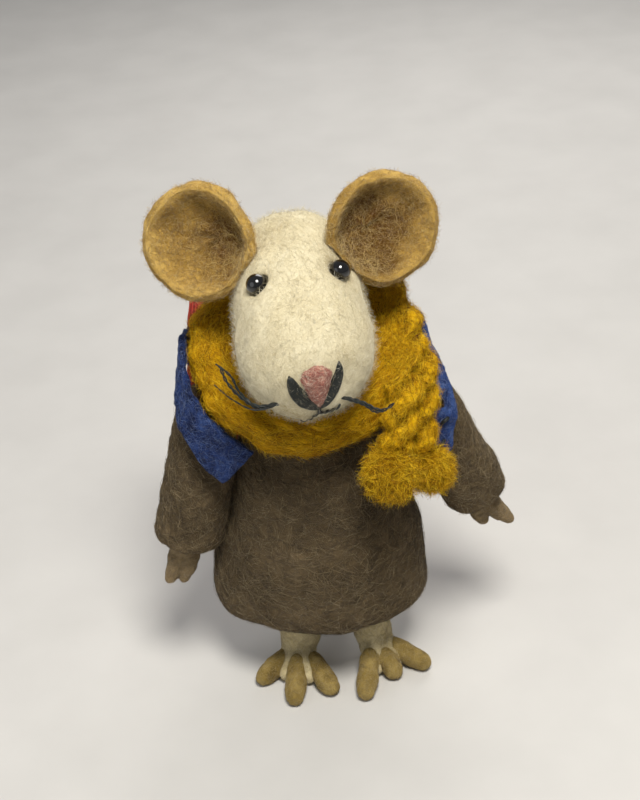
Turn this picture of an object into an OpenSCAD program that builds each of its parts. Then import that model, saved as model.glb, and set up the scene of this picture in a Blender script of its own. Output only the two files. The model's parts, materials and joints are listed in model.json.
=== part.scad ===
/* [Stance] */
// Height of the hip wire above the floor
hip_height = 37; // [35:0.5:39]
// Height of the shoulder wire above the floor
shoulder_height = 84.5; // [84:0.25:85]
// Height of the middle of the scarf ring
collar_height = 103; // [102.5:0.25:103.5]
// Forward tilt of the neck and the scarf ring, in degrees
neck_tilt = 25; // [24:0.5:26]

/* [Head] */
// Radius of the back of the head
cranium_r = 15.5; // [15:0.1:15.8]
// Radius of the muzzle
muzzle_r = 16.5; // [16:0.1:16.8]
// Radius of an ear
ear_r = 14.5; // [13:0.25:15.5]
// Depth of the cup of an ear
ear_cup = 4.5; // [3:0.25:5]
// Thickness of the felt of an ear
ear_felt = 2.4; // [1.8:0.1:3]
// Radius of a glass bead eye
eye_r = 2.6; // [2:0.1:3]
// Radius of the wool patch of the nose
nose_r = 4.6; // [4:0.1:5]

/* [Scarf] */
// Radius of the middle line of the scarf ring
scarf_r = 23; // [23:0.25:23.5]
// Half thickness of the scarf ring, measured away from the neck
scarf_half = 6.5; // [5.5:0.1:6.5]
// Radius of a hanging end of the scarf
scarf_end_r = 3.3; // [2.5:0.1:3.4]

/* [Tunic] */
// Half width of the tunic at its hem
hem_half = 30; // [28:0.25:30.5]
// Thickness of the tunic's felt
tunic_felt = 2.4; // [1.6:0.1:2.4]
// Depth of the tunic as a share of its width
tunic_depth = 0.79; // [0.78:0.01:0.84]

/* [Arms] */
// Length of a sleeve from the shoulder wire to the cuff
sleeve_length = 38.5; // [34:0.5:40]
// Radius of the sleeve at the shoulder
sleeve_top_r = 7.8; // [7.4:0.1:7.9]
// Radius of the sleeve at the cuff
cuff_r = 8.9; // [8:0.1:9]
// Radius of the felt arm inside the sleeve
arm_r = 4; // [3.2:0.1:4.2]

/* [Legs] */
// Radius of a leg
leg_r = 5.4; // [4.5:0.1:5.8]
// Radius of a toe
toe_r = 3.2; // [2.8:0.1:3.3]

/* [Wires] */
// Radius of the armature wire
wire_r = 0.8; // [0.6:0.05:0.9]
// Running clearance of a wire in its eye
wire_play = 0.05; // [0.02:0.01:0.08]

/* [Hidden] */
$fn = 64;
centre_x = 3.75;
centre_y = -2.6;
body_x = -1;
bore_r = wire_r + wire_play;

// Neck: a straight axis through the middle of the scarf ring.
collar = [body_x, -1, collar_height];
neck_axis = [0, -sin(neck_tilt), cos(neck_tilt)];
neck_r = 7;
neck_low = -7;
neck_high = 5;
nod_at = 9;
neck_gap = 0.5;
socket_r = 9.4;
nod_half = 12.2;

// Head: one round form from the cranium to the muzzle.
cranium = [-1.6, 2, 121.5];
muzzle = [-0.5, -24, 114.5];
head_length = norm(muzzle - cranium);
ear_seat_right = [-24.5, -5, 135];
ear_seat_left = [20.8, -5, 135.5];
ear_face_right = [-0.25, -0.93, 0.27];
ear_face_left = [0.22, -0.93, 0.27];
eye_seat_right = [-10.8, -17, 129.2];
eye_seat_left = [9.3, -13.9, 129.6];
pocket_turn = [30, 40, 0];
thread_r = 0.45;
thread_lift = 0.12;
stroke_r = 1.2;
stroke_high = 0.55;

// Torso.
core_r = 11.2;
core_y = 1.5;
core_low = 43;
core_high = 76;
spine_low = [body_x, -4, core_low - 3];
spine_bend = [body_x, 6.6, 86.7];
hip_y = -6;
hip_x_right = -9;
hip_x_left = 12;
shoulder_y = -2;
shoulder_right = [-28, shoulder_y, shoulder_height];
shoulder_left = [28.5, shoulder_y, shoulder_height];
hem_felt = 4;

// Arms: the lean of each one at rest, outward and forward, in degrees.
spread_right = 14;
spread_left = 23;
lean_right = 8;
lean_left = -6.5;
sleeve_felt = 2.2;
pad_length = 10;

// Legs: the floor points under the tips of the toes.
leg_low = 1.5;
leg_top = hip_height - 3.5;
tips_right = [[-22, -18], [-12, -28], [0, -25]];
tips_left = [[8, -28], [18, -20.5], [28, -16.5]];
foot_r = 11;
foot_drop = 4.5;

// Backpack.
bag_front = 19;
bag_depth = 16;
bag_low = 56;
bag_high = 96;
bag_wall = 1.8;
bag_x = -3;
bag_top_half = 29;
bag_low_half = 33;
flap_felt = 1.6;
flap_drop = 17;
strap_felt = 1.6;

// Tail.
tail_x = 2;
tail_y = 11;
tail_high = 36;
tail_r = 2.3;
tail_tip_r = 1.3;
tail_route = [
    [2, 11, 33], [2, 11.3, 28], [2.3, 12.2, 22.5], [3.2, 14.5, 17], [4.6, 18.5, 12],
    [6.6, 23, 8], [9.4, 27.6, 4.8], [13, 30.8, 2.8], [17, 31.8, 2.4], [20.6, 30, 2.2],
    [22.4, 26.2, 2], [21.8, 22, 1.8], [18.8, 19.4, 1.6], [15, 19.6, 1.5]
];

// Outline of the tunic, from the hem up: height, half width and middle line from front to back.
tunic_line = [
    [20.8, hem_half - 2, -1], [23, hem_half - 0.2, -1], [27, hem_half, -1],
    [34, hem_half - 0.4, -1], [44, hem_half - 2, -1], [52, hem_half - 4.6, -1],
    [60, hem_half - 7, -0.8], [70, hem_half - 9.6, 0], [79, hem_half - 11.4, 0.8],
    [85, hem_half - 13, 2], [89, hem_half - 17.2, 4.8]
];

function unit(v) = v / norm(v);
function on_neck(s) = collar + neck_axis * s;
function on_muzzle(az, el, h) =
    muzzle + (muzzle_r + h) * [sin(az) * cos(el), -cos(az) * cos(el), sin(el)];
function arm_way(side, spread, lean) =
    [side * sin(spread), -cos(spread) * sin(lean), -cos(spread) * cos(lean)];
function oval(c, u, v, a, b, n) =
    [for (i = [0:n - 1]) c + u * a * cos(360 * i / n) + v * b * sin(360 * i / n)];
function way_at(path, i) =
    unit(path[min(i + 1, len(path) - 1)] - path[max(i - 1, 0)]);

way_right = arm_way(-1, spread_right, lean_right);
way_left = arm_way(1, spread_left, lean_left);

// Puts the model on its origin, under the middle of its bounding box.
module standing() {
    translate([-centre_x, -centre_y, 0]) children();
}

// Lays something built up the Z axis along the line from one point towards another.
module along(from, to) {
    d = to - from;
    translate(from)
        rotate([0, acos(d.z / norm(d)), atan2(d.y, d.x)])
            children();
}

module rod(from, to, r) {
    along(from, to) cylinder(r = r, h = norm(to - from));
}

module round_rod(from, to, r) {
    length = norm(to - from);
    along(from, to) rotate_extrude() intersection() {
        union() {
            circle(r);
            translate([0, length]) circle(r);
            translate([-r, 0]) square([2 * r, length]);
        }
        translate([0, -2 * r]) square([2 * r, length + 4 * r]);
    }
}

module cross_rod(c, r, half) {
    translate(c - [half, 0, 0]) rotate([0, 90, 0]) cylinder(r = r, h = 2 * half);
}

// A closed skin over rings of points that all have the same number of points.
module skin(rings, looped = false) {
    n = len(rings[0]);
    m = len(rings);
    points = [for (ring = rings) each ring];
    steps = looped ? m : m - 1;
    sides = [for (i = [0:steps - 1], j = [0:n - 1])
        let (k = (j + 1) % n, up = (i + 1) % m)
        each [
            [i * n + j, up * n + j, up * n + k],
            [i * n + j, up * n + k, i * n + k]
        ]];
    caps = looped ? [] : [
        [for (j = [0:n - 1]) j],
        [for (j = [n - 1:-1:0]) (m - 1) * n + j]
    ];
    polyhedron(points = points, faces = concat(sides, caps), convexity = 6);
}

// A round tube along a path that narrows evenly from one end to the other.
module tube(path, r_start, r_end, sides) {
    last = len(path) - 1;
    skin([for (i = [0:last])
        let (t = way_at(path, i), u = unit(cross([0.3, 1, 0.2], t)), v = cross(t, u),
            r = r_start + (r_end - r_start) * i / last)
        oval(path[i], u, v, r, r, sides)]);
}

// A flat band along a path; each station gives a point, the way the band faces and its width.
module band(stations, thickness) {
    path = [for (s = stations) s[0]];
    skin([for (i = [0:len(stations) - 1])
        let (t = way_at(path, i), face = unit(stations[i][1] - t * (stations[i][1] * t)),
            across = cross(face, t), w = across * stations[i][2] / 2,
            h = face * thickness / 2, c = path[i])
        [c + w + h, c - w + h, c - w - h, c + w - h]]);
}

// --- Torso ---

// A bent wire: its straight runs pass each other a little at every bend.
module wire_run(points) {
    for (i = [0:len(points) - 2]) {
        over = wire_r / 2 * unit(points[i + 1] - points[i]);
        rod(points[i] - over, points[i + 1] + over, wire_r);
    }
}

module spine_line() {
    wire_run([[body_x, hip_y, hip_height], spine_low, spine_bend, on_neck(neck_high)]);
}

module shoulder_line() {
    cross_rod([(shoulder_right.x + shoulder_left.x) / 2, shoulder_y, shoulder_height], wire_r,
        (shoulder_left.x - shoulder_right.x) / 2 - 3.2);
}

module body_core() color("tan") standing() difference() {
    union() {
        translate([body_x, core_y, core_low]) cylinder(r = core_r, h = core_high - core_low);
        translate([body_x, core_y, core_high]) sphere(core_r);
        rod(on_neck(-20), on_neck(neck_low - neck_gap), neck_r);
    }
    spine_line();
    shoulder_line();
    translate([tail_x, tail_y, tail_high - 2]) cylinder(r = wire_r, h = 20);
}

module tunic() {
    outer = [for (s = tunic_line) [s[0], s[1], s[1] * tunic_depth, s[2]]];
    top = len(outer) - 1;
    inner = [for (i = [top:-1:0])
        let (s = outer[i], felt = i < 3 ? hem_felt : tunic_felt, z = i == 0 ? s[0] - 0.6 : s[0])
        [z, s[1] - felt, s[2] - felt, s[3]]];
    color("dimgray") standing() difference() {
        skin([for (s = concat(outer, inner))
            oval([body_x, s[3], s[0]], [1, 0, 0], [0, 1, 0], s[1], s[2], 40)], looped = true);
        cross_rod([0, shoulder_y, shoulder_height], 1.6, 30);
    }
}

module spine_wire() color("silver") standing() difference() {
    union() {
        spine_line();
        cross_rod([body_x, hip_y, hip_height], 2 * wire_r, 1.5);
    }
    cross_rod([body_x, hip_y, hip_height], wire_r, 3);
}

module hip_wire() color("silver") standing()
    cross_rod([(hip_x_right + hip_x_left) / 2, hip_y, hip_height], wire_r,
        (hip_x_left - hip_x_right) / 2 + 4);

module shoulder_wire() color("silver") standing() shoulder_line();

module tail_pin() color("silver") standing()
    translate([tail_x, tail_y, tail_high - 2]) cylinder(r = wire_r, h = 20);

// --- Scarf ---

module scarf_outline() {
    low = -9.2;
    high = 6;
    difference() {
        union() {
            translate([scarf_r, low + scarf_half]) circle(scarf_half);
            translate([scarf_r, high - scarf_half]) circle(scarf_half);
            translate([scarf_r - scarf_half, low + scarf_half])
                square([2 * scarf_half, high - low - 2 * scarf_half]);
            translate([neck_r + 4, low]) square([scarf_r - neck_r - 4, scarf_half]);
        }
        // Room for the turning muzzle and the tipping head.
        translate([16, 20.1]) circle(muzzle_r + 0.6);
        translate([11.7, 13.2]) circle(cranium_r + 0.6);
    }
}

module scarf_ring() color("goldenrod") standing()
    along(collar, collar + neck_axis)
        rotate_extrude($fn = 96) scarf_outline();

module scarf_end_front() color("goldenrod") standing()
    tube([
        [22.7, -20.4, 101.3], [22.3, -22.2, 98.8], [21.7, -23.3, 95.8], [21.1, -23.9, 91.5],
        [20, -25.4, 87]
    ], scarf_end_r, scarf_end_r, 16);

module scarf_end_back() color("goldenrod") standing()
    tube([
        [27.6, -13.9, 102.6], [28, -16, 98.6], [28.2, -17.9, 94.5], [28.2, -19.6, 90.4],
        [28.4, -21.2, 85.2], [28.6, -21.9, 82.6]
    ], scarf_end_r, scarf_end_r, 16);

module tassel_front() color("gold") standing() translate([18.4, -28.5, 79.8]) sphere(6.9);

module tassel_back() color("gold") standing() translate([28.9, -22.8, 75.8]) sphere(5.1);

// --- Backpack ---

module bag_outline(inset) {
    corner = 6;
    r = corner - inset;
    low = bag_low + corner;
    low_half = bag_low_half - inset;
    top_half = bag_top_half - inset;
    translate([bag_x, low]) {
        polygon([
            [corner - bag_low_half, -r], [bag_low_half - corner, -r], [low_half, 0],
            [top_half, bag_high - low], [top_half, bag_high], [-top_half, bag_high],
            [-top_half, bag_high - low], [-low_half, 0]
        ]);
        for (side = [-1, 1]) translate([side * (bag_low_half - corner), 0]) circle(r);
    }
}

module bag_block(inset, high) {
    translate([0, bag_front + bag_depth - inset, 0]) rotate([90, 0, 0])
        linear_extrude(bag_depth - 2 * inset) intersection() {
            bag_outline(inset);
            translate([-100, 0]) square([200, high]);
        }
}

module backpack_bag() color("firebrick") standing() difference() {
    bag_block(0, bag_high);
    bag_block(bag_wall, bag_high + 5);
}

module backpack_flap() color("firebrick") standing() {
    top = bag_high + 0.4;
    front = bag_front + 1;
    back = bag_front + bag_depth + 0.5;
    half = bag_top_half + 0.2;
    translate([bag_x - half, front, top]) cube([2 * half, back + flap_felt - front, flap_felt]);
    translate([bag_x - half, back, top - flap_drop]) cube([2 * half, flap_felt, flap_drop + flap_felt]);
}

module strap_right() color("royalblue") standing()
    band([
        [[-31, 18.8, 90.5], [-1, 0, 0.2], 9], [[-31.6, 12, 98], [-1, 0, 0.2], 8],
        [[-32.3, 3, 101.5], [-1, 0, 0.1], 8], [[-32.8, -5, 99.5], [-1, -0.3, 0.1], 8],
        [[-32.3, -11, 95], [-0.8, -0.6, 0.1], 8.5], [[-30.3, -14.5, 89.5], [-0.4, -0.9, 0], 9.5],
        [[-26.4, -16.8, 83.6], [-0.15, -1, 0], 11], [[-20.2, -18.3, 77.2], [-0.05, -1, 0.1], 12.4]
    ], strap_felt);

module strap_left() color("royalblue") standing()
    band([
        [[25.5, 18.8, 90.5], [1, 0, 0.2], 9], [[28, 12, 98.5], [1, 0, 0.2], 8],
        [[29.9, 4, 102], [1, 0, 0.1], 8], [[32, -4, 98.5], [1, -0.3, 0.1], 8],
        [[32.9, -10.3, 91.5], [0.7, -0.7, 0], 8.5], [[32.4, -13.6, 84.5], [0.35, -0.93, 0], 9.5],
        [[30.4, -15, 78], [0.1, -1, 0], 10], [[28, -15.4, 73], [0, -1, 0.1], 7]
    ], strap_felt);

module strap_stitches() color("black") standing() {
    round_rod([34.6, -14.4, 84.8], [33, -14.9, 83.4], thread_r);
    round_rod([33, -15.6, 78.8], [31.4, -16.2, 77.4], thread_r);
}

// --- Neck and head ---

module neck_outline() {
    spine_end = neck_high - neck_low + 1;
    difference() {
        intersection() {
            union() {
                square([neck_r, neck_high - neck_low]);
                translate([0, neck_high - neck_low]) circle(neck_r);
            }
            square([neck_r, spine_end + neck_r]);
        }
        square([bore_r, spine_end]);
    }
}

module neck() color("ivory") standing() difference() {
    along(on_neck(neck_low), on_neck(neck_high)) rotate_extrude() neck_outline();
    cross_rod(on_neck(nod_at), wire_r, 2 * neck_r);
}

module nod_wire() color("silver") standing()
    cross_rod(on_neck(nod_at), wire_r, nod_half);

// Room for the neck inside the head: round at the top and open below.
module neck_socket() {
    depth = 30;
    along(on_neck(nod_at), on_neck(nod_at - 1)) rotate_extrude() intersection() {
        union() {
            circle(socket_r);
            square([socket_r, depth]);
        }
        translate([0, -socket_r]) square([socket_r, socket_r + depth]);
    }
}

module egg() {
    along(cranium, muzzle) rotate_extrude() intersection() {
        union() {
            circle(cranium_r);
            translate([0, head_length]) circle(muzzle_r);
            polygon([[0, 0], [cranium_r, 0], [muzzle_r, head_length], [0, head_length]]);
        }
        translate([0, -2 * cranium_r]) square([2 * muzzle_r, 4 * cranium_r + 2 * head_length]);
    }
}

module eye_beads() {
    translate(eye_seat_right) rotate(pocket_turn) sphere(eye_r);
    translate(eye_seat_left) rotate(pocket_turn) sphere(eye_r);
}

module head() color("ivory") standing() difference() {
    egg();
    eye_beads();
    neck_socket();
    cross_rod(on_neck(nod_at), bore_r, nod_half + 0.4);
}

module ear(seat, face) {
    cup_r = (ear_r * ear_r + ear_cup * ear_cup) / (2 * ear_cup);
    difference() {
        along(seat, seat + face) intersection() {
            translate([0, 0, cup_r - ear_cup]) difference() {
                sphere(cup_r + ear_felt);
                sphere(cup_r);
            }
            translate([0, 0, -2 * ear_cup]) cylinder(r = ear_r, h = 2 * ear_cup + 1);
        }
        egg();
    }
}

module ear_right() color("peru") standing() ear(ear_seat_right, ear_face_right);

module ear_left() color("peru") standing() ear(ear_seat_left, ear_face_left);

module eye_right() color("black") standing() translate(eye_seat_right) sphere(eye_r);

module eye_left() color("black") standing() translate(eye_seat_left) sphere(eye_r);

// Satin stitch laid on the muzzle through points given as angle across and angle up:
// a flat pad of thread, widest in the middle.
module satin(angles) {
    path = [for (a = angles) on_muzzle(a[0], a[1], stroke_high + thread_lift)];
    last = len(path) - 1;
    skin([for (i = [0:last])
        let (out = unit(path[i] - muzzle), across = unit(cross(out, way_at(path, i))),
            wide = stroke_r * (0.45 + 0.55 * sin(180 * i / last)))
        oval(path[i], across, out, wide, stroke_high, 10)]);
}

// A single thread laid on the muzzle.
module thread(angles) {
    tube([for (a = angles) on_muzzle(a[0], a[1], thread_r + thread_lift)], thread_r, thread_r, 8);
}

module nose_strokes() {
    satin([[-13, 7], [-10, -1], [-6, -9], [-2, -15], [3, -21], [8.2, -27]]);
    satin([[27, 14], [25.5, 5], [23, -3], [19, -11], [14, -19], [8.7, -26]]);
}

module nose() color("rosybrown") standing() difference() {
    // A lens of wool: the part of a larger ball that stands out of the muzzle.
    translate(on_muzzle(6, 4, -nose_r)) sphere(1.42 * nose_r);
    egg();
    nose_strokes();
}

module nose_stitches() color("black") standing() nose_strokes();

module mouth_stitches() color("black") standing() {
    thread([[8.7, -30], [8.7, -36], [20, -35], [28, -28]]);
    thread([[9.2, -35], [0, -41], [-9, -41]]);
}

module whiskers_right() color("black") standing() difference() {
    union() {
        tube([on_muzzle(-26, -20, -0.5), [-12.5, -36.8, 107.6], [-16.4, -36, 110.6], [-19, -35.4, 114.6],
            [-21, -34.8, 118.4]], thread_r, thread_r, 8);
        tube([on_muzzle(-34, -21, -0.5), [-15, -37.4, 108.6], [-18.4, -37.4, 111.6], [-21.8, -37.4, 114.6]],
            thread_r, thread_r / 2, 8);
    }
    egg();
}

module whiskers_left() color("black") standing() difference() {
    tube([on_muzzle(28, -20, -0.5), [12, -38.4, 107.6], [15, -38.8, 106.2], [17.4, -38.6, 106.6]],
        thread_r, thread_r, 8);
    egg();
}

// --- Arms ---

module sleeve_outline() {
    inner_r = sleeve_top_r - sleeve_felt;
    inner_cuff_r = cuff_r - sleeve_felt;
    hem = sleeve_felt / 2;
    edge = sleeve_length - hem;
    intersection() {
        difference() {
            union() {
                circle(sleeve_top_r);
                polygon([[0, 0], [sleeve_top_r, 0], [cuff_r, edge], [0, edge]]);
                translate([cuff_r - hem, edge]) circle(hem);
            }
            circle(inner_r);
            polygon([
                [0, 0], [inner_r, 0], [inner_r, pad_length], [inner_cuff_r, edge],
                [inner_cuff_r, sleeve_length], [0, sleeve_length]
            ]);
        }
        translate([0, -2 * sleeve_top_r]) square([2 * cuff_r, 3 * sleeve_length]);
    }
}

module sleeve(pivot, way, side) difference() {
    along(pivot, pivot + way) rotate_extrude() sleeve_outline();
    // Armhole, wide enough for the shoulder wire as the arm is raised.
    rod(pivot, pivot + 12 * [-side * cos(20), 0, sin(20)], 4.6);
}

module arm_stem(pivot, way, r) {
    rod(pivot + 1.4 * way, pivot + (sleeve_length - 5.5) * way, r);
}

module arm(pivot, way) difference() {
    along(pivot, pivot + way) {
        translate([0, 0, 3.5]) cylinder(r = sleeve_top_r - sleeve_felt, h = pad_length - 3.5);
        translate([0, 0, pad_length]) cylinder(r = arm_r, h = sleeve_length - pad_length - 3.5);
    }
    arm_stem(pivot, way, wire_r);
}

module arm_wire(pivot, way) difference() {
    union() {
        arm_stem(pivot, way, wire_r);
        translate(pivot + [0, 1.5, 0]) rotate([90, 0, 0]) cylinder(r = 1.9, h = 3);
    }
    translate(pivot + [0, 3, 0]) rotate([90, 0, 0]) cylinder(r = bore_r, h = 6);
}

// A fork of bent wire: its socket turns on the shoulder wire and its pin carries the arm wire's eye.
module shoulder_fork(pivot, side) difference() {
    translate(pivot) {
        translate([0, 3.5, 0]) rotate([90, 0, 0]) cylinder(r = wire_r, h = 7);
        for (y = [-2.5, 2.5]) translate([-side * 1.7, y, 0]) cube([3.4, 1, 1.8], center = true);
        translate([-side * 2.9, 0, 0]) cube([1, 6, 2.4], center = true);
        cross_rod([-side * 4.1, 0, 0], 2, 1.3);
    }
    cross_rod(pivot - [side * 4.5, 0, 0], bore_r, 1.5);
}

module hand(pivot, way, side) {
    wrist = pivot + (sleeve_length - 3.5) * way;
    palm = pivot + (sleeve_length + 0.5) * way;
    rod(wrist, palm, 3.4);
    translate(palm) sphere(4.1);
    for (spread = [-1, 1])
        round_rod(palm + [spread * 1.5, -0.6, 0], palm + 8.6 * way + [spread * 3 + side * 1.2, -1, 0], 1.9);
}

module shoulder_fork_right() color("silver") standing() shoulder_fork(shoulder_right, -1);

module sleeve_right() color("dimgray") standing() sleeve(shoulder_right, way_right, -1);

module arm_right() color("tan") standing() arm(shoulder_right, way_right);

module arm_wire_right() color("silver") standing() arm_wire(shoulder_right, way_right);

module hand_right() color("tan") standing() hand(shoulder_right, way_right, 0.4);

module shoulder_fork_left() color("silver") standing() shoulder_fork(shoulder_left, 1);

module sleeve_left() color("dimgray") standing() sleeve(shoulder_left, way_left, 1);

module arm_left() color("tan") standing() arm(shoulder_left, way_left);

module arm_wire_left() color("silver") standing() arm_wire(shoulder_left, way_left);

module hand_left() color("tan") standing() hand(shoulder_left, way_left, 1);

// --- Legs ---

module leg(x) difference() {
    translate([x, hip_y, leg_low]) cylinder(r = leg_r, h = leg_top - leg_low);
    leg_stem(x);
}

module leg_stem(x) {
    translate([x, hip_y, leg_low + 2]) cylinder(r = wire_r, h = hip_height - leg_low - 3.4);
}

module leg_wire(x) difference() {
    union() {
        leg_stem(x);
        cross_rod([x, hip_y, hip_height], 1.9, 1.5);
    }
    cross_rod([x, hip_y, hip_height], bore_r, 3);
}

module on_floor() intersection() {
    children();
    translate([-100, -100, 0]) cube(200);
}

module toe_rods(x, tips) for (tip = tips) {
    ankle = [x, hip_y, 0.9 * toe_r];
    end = [tip.x, tip.y, 0.9 * toe_r];
    way = unit(end - ankle);
    round_rod(ankle + (leg_r + toe_r + 0.2) * way, end - toe_r * way, toe_r);
}

module toes(x, tips) on_floor() toe_rods(x, tips);

module foot(x, tips) difference() {
    on_floor() translate([x, hip_y - 3.5, -foot_drop]) sphere(foot_r);
    translate([x, hip_y, leg_low]) cylinder(r = leg_r, h = 20);
    // Seats for the toes.
    for (tip = tips) {
        ankle = [x, hip_y, toe_r];
        way = unit([tip.x, tip.y, toe_r] - ankle);
        rod(ankle + (leg_r + 0.1) * way, ankle + 20 * way, toe_r + 0.35);
    }
}

module leg_right() color("ivory") standing() leg(hip_x_right);

module leg_wire_right() color("silver") standing() leg_wire(hip_x_right);

module foot_right() color("ivory") standing() foot(hip_x_right, tips_right);

module toes_right() color("tan") standing() toes(hip_x_right, tips_right);

module leg_left() color("ivory") standing() leg(hip_x_left);

module leg_wire_left() color("silver") standing() leg_wire(hip_x_left);

module foot_left() color("ivory") standing() foot(hip_x_left, tips_left);

module toes_left() color("tan") standing() toes(hip_x_left, tips_left);

// --- Tail ---

module tail() color("rosybrown") standing() difference() {
    union() {
        translate([tail_x, tail_y, tail_high - 5]) cylinder(r = tail_r, h = 5);
        tube(tail_route, tail_r, tail_tip_r, 10);
    }
    translate([tail_x, tail_y, tail_high - 2.5]) cylinder(r = bore_r, h = 20);
}

body_core();
tunic();
spine_wire();
hip_wire();
shoulder_wire();
tail_pin();
scarf_ring();
scarf_end_front();
scarf_end_back();
tassel_front();
tassel_back();
backpack_bag();
strap_right();
strap_left();
strap_stitches();
backpack_flap();
neck();
nod_wire();
head();
ear_right();
ear_left();
eye_right();
eye_left();
nose();
nose_stitches();
mouth_stitches();
whiskers_right();
whiskers_left();
shoulder_fork_right();
sleeve_right();
arm_right();
arm_wire_right();
hand_right();
shoulder_fork_left();
sleeve_left();
arm_left();
arm_wire_left();
hand_left();
leg_right();
leg_wire_right();
foot_right();
toes_right();
leg_left();
leg_wire_left();
foot_left();
toes_left();
tail();
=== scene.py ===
"""The looks of a standing felt mouse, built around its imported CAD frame."""
import json
import math

import bpy
import numpy as np
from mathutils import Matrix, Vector
from mathutils.bvhtree import BVHTree


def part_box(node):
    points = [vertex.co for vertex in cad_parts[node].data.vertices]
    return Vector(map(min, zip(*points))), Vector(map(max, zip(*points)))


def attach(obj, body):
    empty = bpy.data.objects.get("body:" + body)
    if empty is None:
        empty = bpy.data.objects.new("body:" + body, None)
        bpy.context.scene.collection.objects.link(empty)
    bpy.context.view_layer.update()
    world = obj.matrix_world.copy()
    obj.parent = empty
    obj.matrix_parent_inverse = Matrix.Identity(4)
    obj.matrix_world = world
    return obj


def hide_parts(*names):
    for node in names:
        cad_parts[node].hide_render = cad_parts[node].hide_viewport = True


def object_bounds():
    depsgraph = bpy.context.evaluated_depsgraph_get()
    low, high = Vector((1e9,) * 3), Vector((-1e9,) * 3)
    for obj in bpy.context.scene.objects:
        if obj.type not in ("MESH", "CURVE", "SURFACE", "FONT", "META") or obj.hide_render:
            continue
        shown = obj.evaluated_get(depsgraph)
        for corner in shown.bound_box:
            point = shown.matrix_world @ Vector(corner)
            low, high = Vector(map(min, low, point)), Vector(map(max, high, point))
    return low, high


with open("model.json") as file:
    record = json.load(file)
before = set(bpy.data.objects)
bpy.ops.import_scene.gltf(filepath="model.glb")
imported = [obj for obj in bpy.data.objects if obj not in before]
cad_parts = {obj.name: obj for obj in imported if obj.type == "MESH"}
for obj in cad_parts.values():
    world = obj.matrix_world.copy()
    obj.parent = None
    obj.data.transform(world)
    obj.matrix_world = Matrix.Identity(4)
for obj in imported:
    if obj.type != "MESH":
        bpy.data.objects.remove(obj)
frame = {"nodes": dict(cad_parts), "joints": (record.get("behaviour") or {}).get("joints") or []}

CAD_BOX = [list(corner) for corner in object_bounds()]
MM = 0.001
TAU = 2 * math.pi
SIDES = ("right", "left")  # the mouse's own sides; its right is towards -X

# Driving sizes, in millimetres unless said.
CRANIUM_R = 15.5
MUZZLE_R = 16.5
EAR_R = 14.5
EYE_R = 2.6
RING_R = 23.0
RING_HALF = 6.5
RING_LOW = -9.2
RING_HIGH = 6.0


# --- Places worked out from the frame ---

def corners(node):
    """Lowest and highest corner of a CAD node, in millimetres."""
    low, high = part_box(node)
    return np.array(low) / MM, np.array(high) / MM


def middle(node):
    low, high = corners(node)
    return (low + high) / 2


def unit(v):
    v = np.asarray(v, float)
    return v / np.linalg.norm(v, axis=-1, keepdims=True)


joints = {j["name"]: j for j in frame["joints"]}


def pivot(joint):
    return np.array(joints[joint]["pos_m"]) / MM


collar = pivot("head_turn")
neck_axis = unit(joints["head_turn"]["axis"])
head_low, head_high = corners("head")
muzzle = np.array([head_high[0], head_low[1], head_low[2]]) + MUZZLE_R * np.array([-1, 1, 1])
cranium = np.array([head_low[0], head_high[1], head_high[2]]) + CRANIUM_R * np.array([1, -1, -1])
face_way = unit(muzzle - cranium)


def part(x, y, z):
    """A point given in part.scad's own coordinates, before it stands on its origin."""
    return np.array([x, y, z]) + collar - np.array([-1, -1, 103])


def on_muzzle(across, up, height=0.0):
    """A point over the muzzle at an angle across and an angle up, in degrees."""
    a, e = np.radians(across), np.radians(up)
    way = np.array([np.sin(a) * np.cos(e), -np.cos(a) * np.cos(e), np.sin(e)])
    return muzzle + (MUZZLE_R + height) * way


# --- Meshes ---

def link(name, mesh):
    obj = bpy.data.objects.new(name, mesh)
    bpy.context.scene.collection.objects.link(obj)
    return obj


def mesh_of(name, points, faces):
    """A mesh from points in millimetres and faces that all have the same number of corners."""
    points, faces = np.asarray(points, float) * MM, np.asarray(faces, np.int32)
    mesh = bpy.data.meshes.new(name)
    mesh.vertices.add(len(points))
    mesh.vertices.foreach_set("co", points.astype(np.float32).ravel())
    mesh.loops.add(faces.size)
    mesh.loops.foreach_set("vertex_index", faces.ravel())
    mesh.polygons.add(len(faces))
    mesh.polygons.foreach_set("loop_start", np.arange(len(faces), dtype=np.int32) * faces.shape[1])
    mesh.update(calc_edges=True)
    mesh.shade_smooth()
    return mesh


def read(items, key):
    out = np.empty(len(items) * 3, np.float32)
    items.foreach_get(key, out)
    return out.reshape(-1, 3).astype(float)


def points_of(mesh):
    return read(mesh.vertices, "co") / MM


def normals_of(mesh):
    return read(mesh.vertex_normals, "vector")


def triangles_of(mesh):
    mesh.calc_loop_triangles()
    t = np.empty(len(mesh.loop_triangles) * 3, np.int32)
    mesh.loop_triangles.foreach_get("vertices", t)
    return t.reshape(-1, 3)


def move(obj, points):
    obj.data.vertices.foreach_set("co", (np.asarray(points) * MM).astype(np.float32).ravel())
    obj.data.update()


def applied(obj):
    """Replaces an object's mesh by what its modifiers make of it."""
    depsgraph = bpy.context.evaluated_depsgraph_get()
    mesh = bpy.data.meshes.new_from_object(obj.evaluated_get(depsgraph))
    obj.modifiers.clear()
    obj.data = mesh
    mesh.shade_smooth()
    return obj


def remeshed(obj, voxel, rounds):
    """One soft skin of even quads, with its edges rounded by smoothing."""
    weld = obj.modifiers.new("weld", "WELD")
    weld.merge_threshold = 0.005 * MM
    skin = obj.modifiers.new("skin", "REMESH")
    skin.mode = "VOXEL"
    skin.voxel_size = voxel * MM
    soft = obj.modifiers.new("soft", "SMOOTH")
    soft.factor = 0.5
    soft.iterations = rounds
    return applied(obj)


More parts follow.
